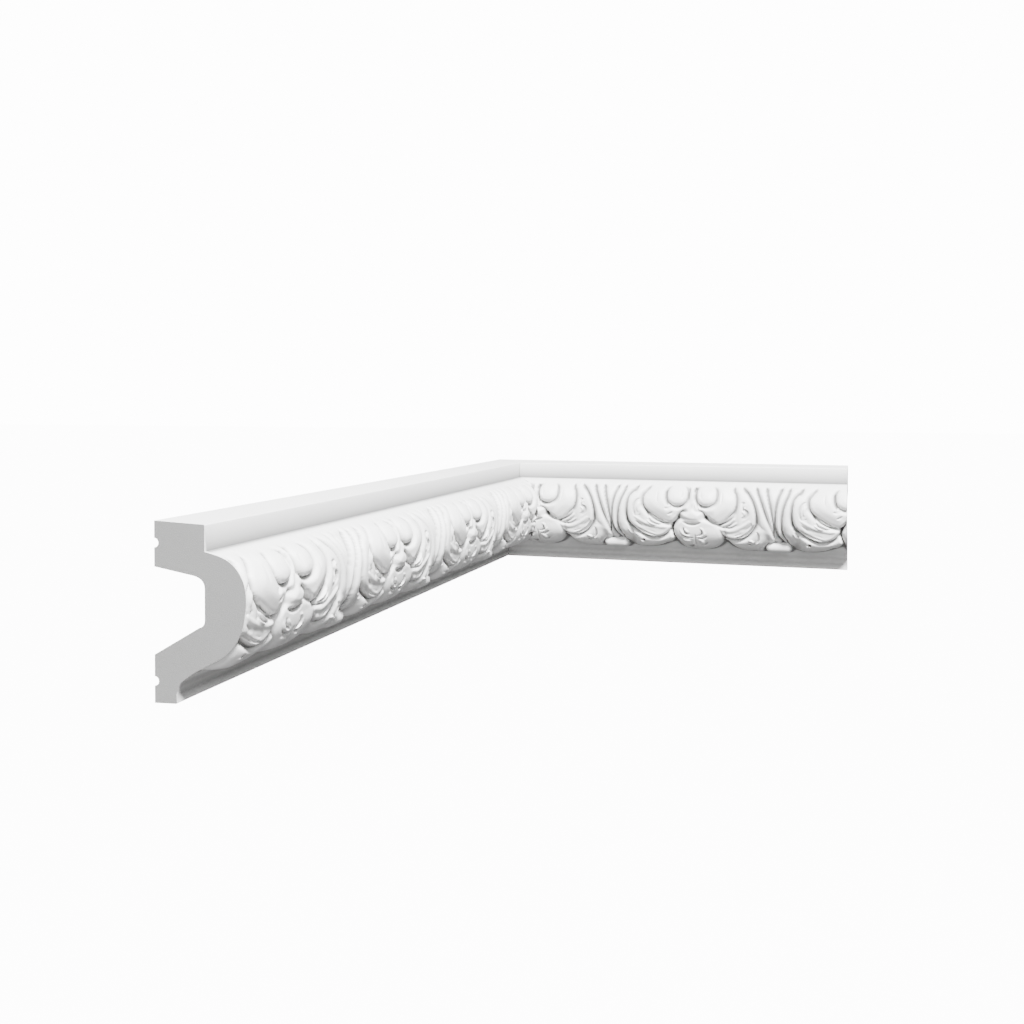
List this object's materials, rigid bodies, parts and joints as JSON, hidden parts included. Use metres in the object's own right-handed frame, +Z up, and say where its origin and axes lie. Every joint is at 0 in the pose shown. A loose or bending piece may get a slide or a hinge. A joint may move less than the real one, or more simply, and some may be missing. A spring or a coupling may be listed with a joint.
{
  "type": "carved wall moulding",
  "caption": "Wall moulding of white primed foam: two lengths of one carved section with a plain ledge above, scrolled leaf relief below and a hollow back, mitred at an inside corner.",
  "frame": {"origin": "middle of the left length's upper fixing land, on the wall plane behind it", "axes": "+X out of the wall that the left length hangs on and along the right length, +Y along the left length towards the inside corner, +Z up"},
  "size_m": [0.311, 0.544, 0.088],
  "materials": {
    "primed_foam": "smooth white primer, low sheen"
  },
  "bodies": {
    "root": {"left_length": "primed_foam", "right_length": "primed_foam"}
  },
  "joints": []
}
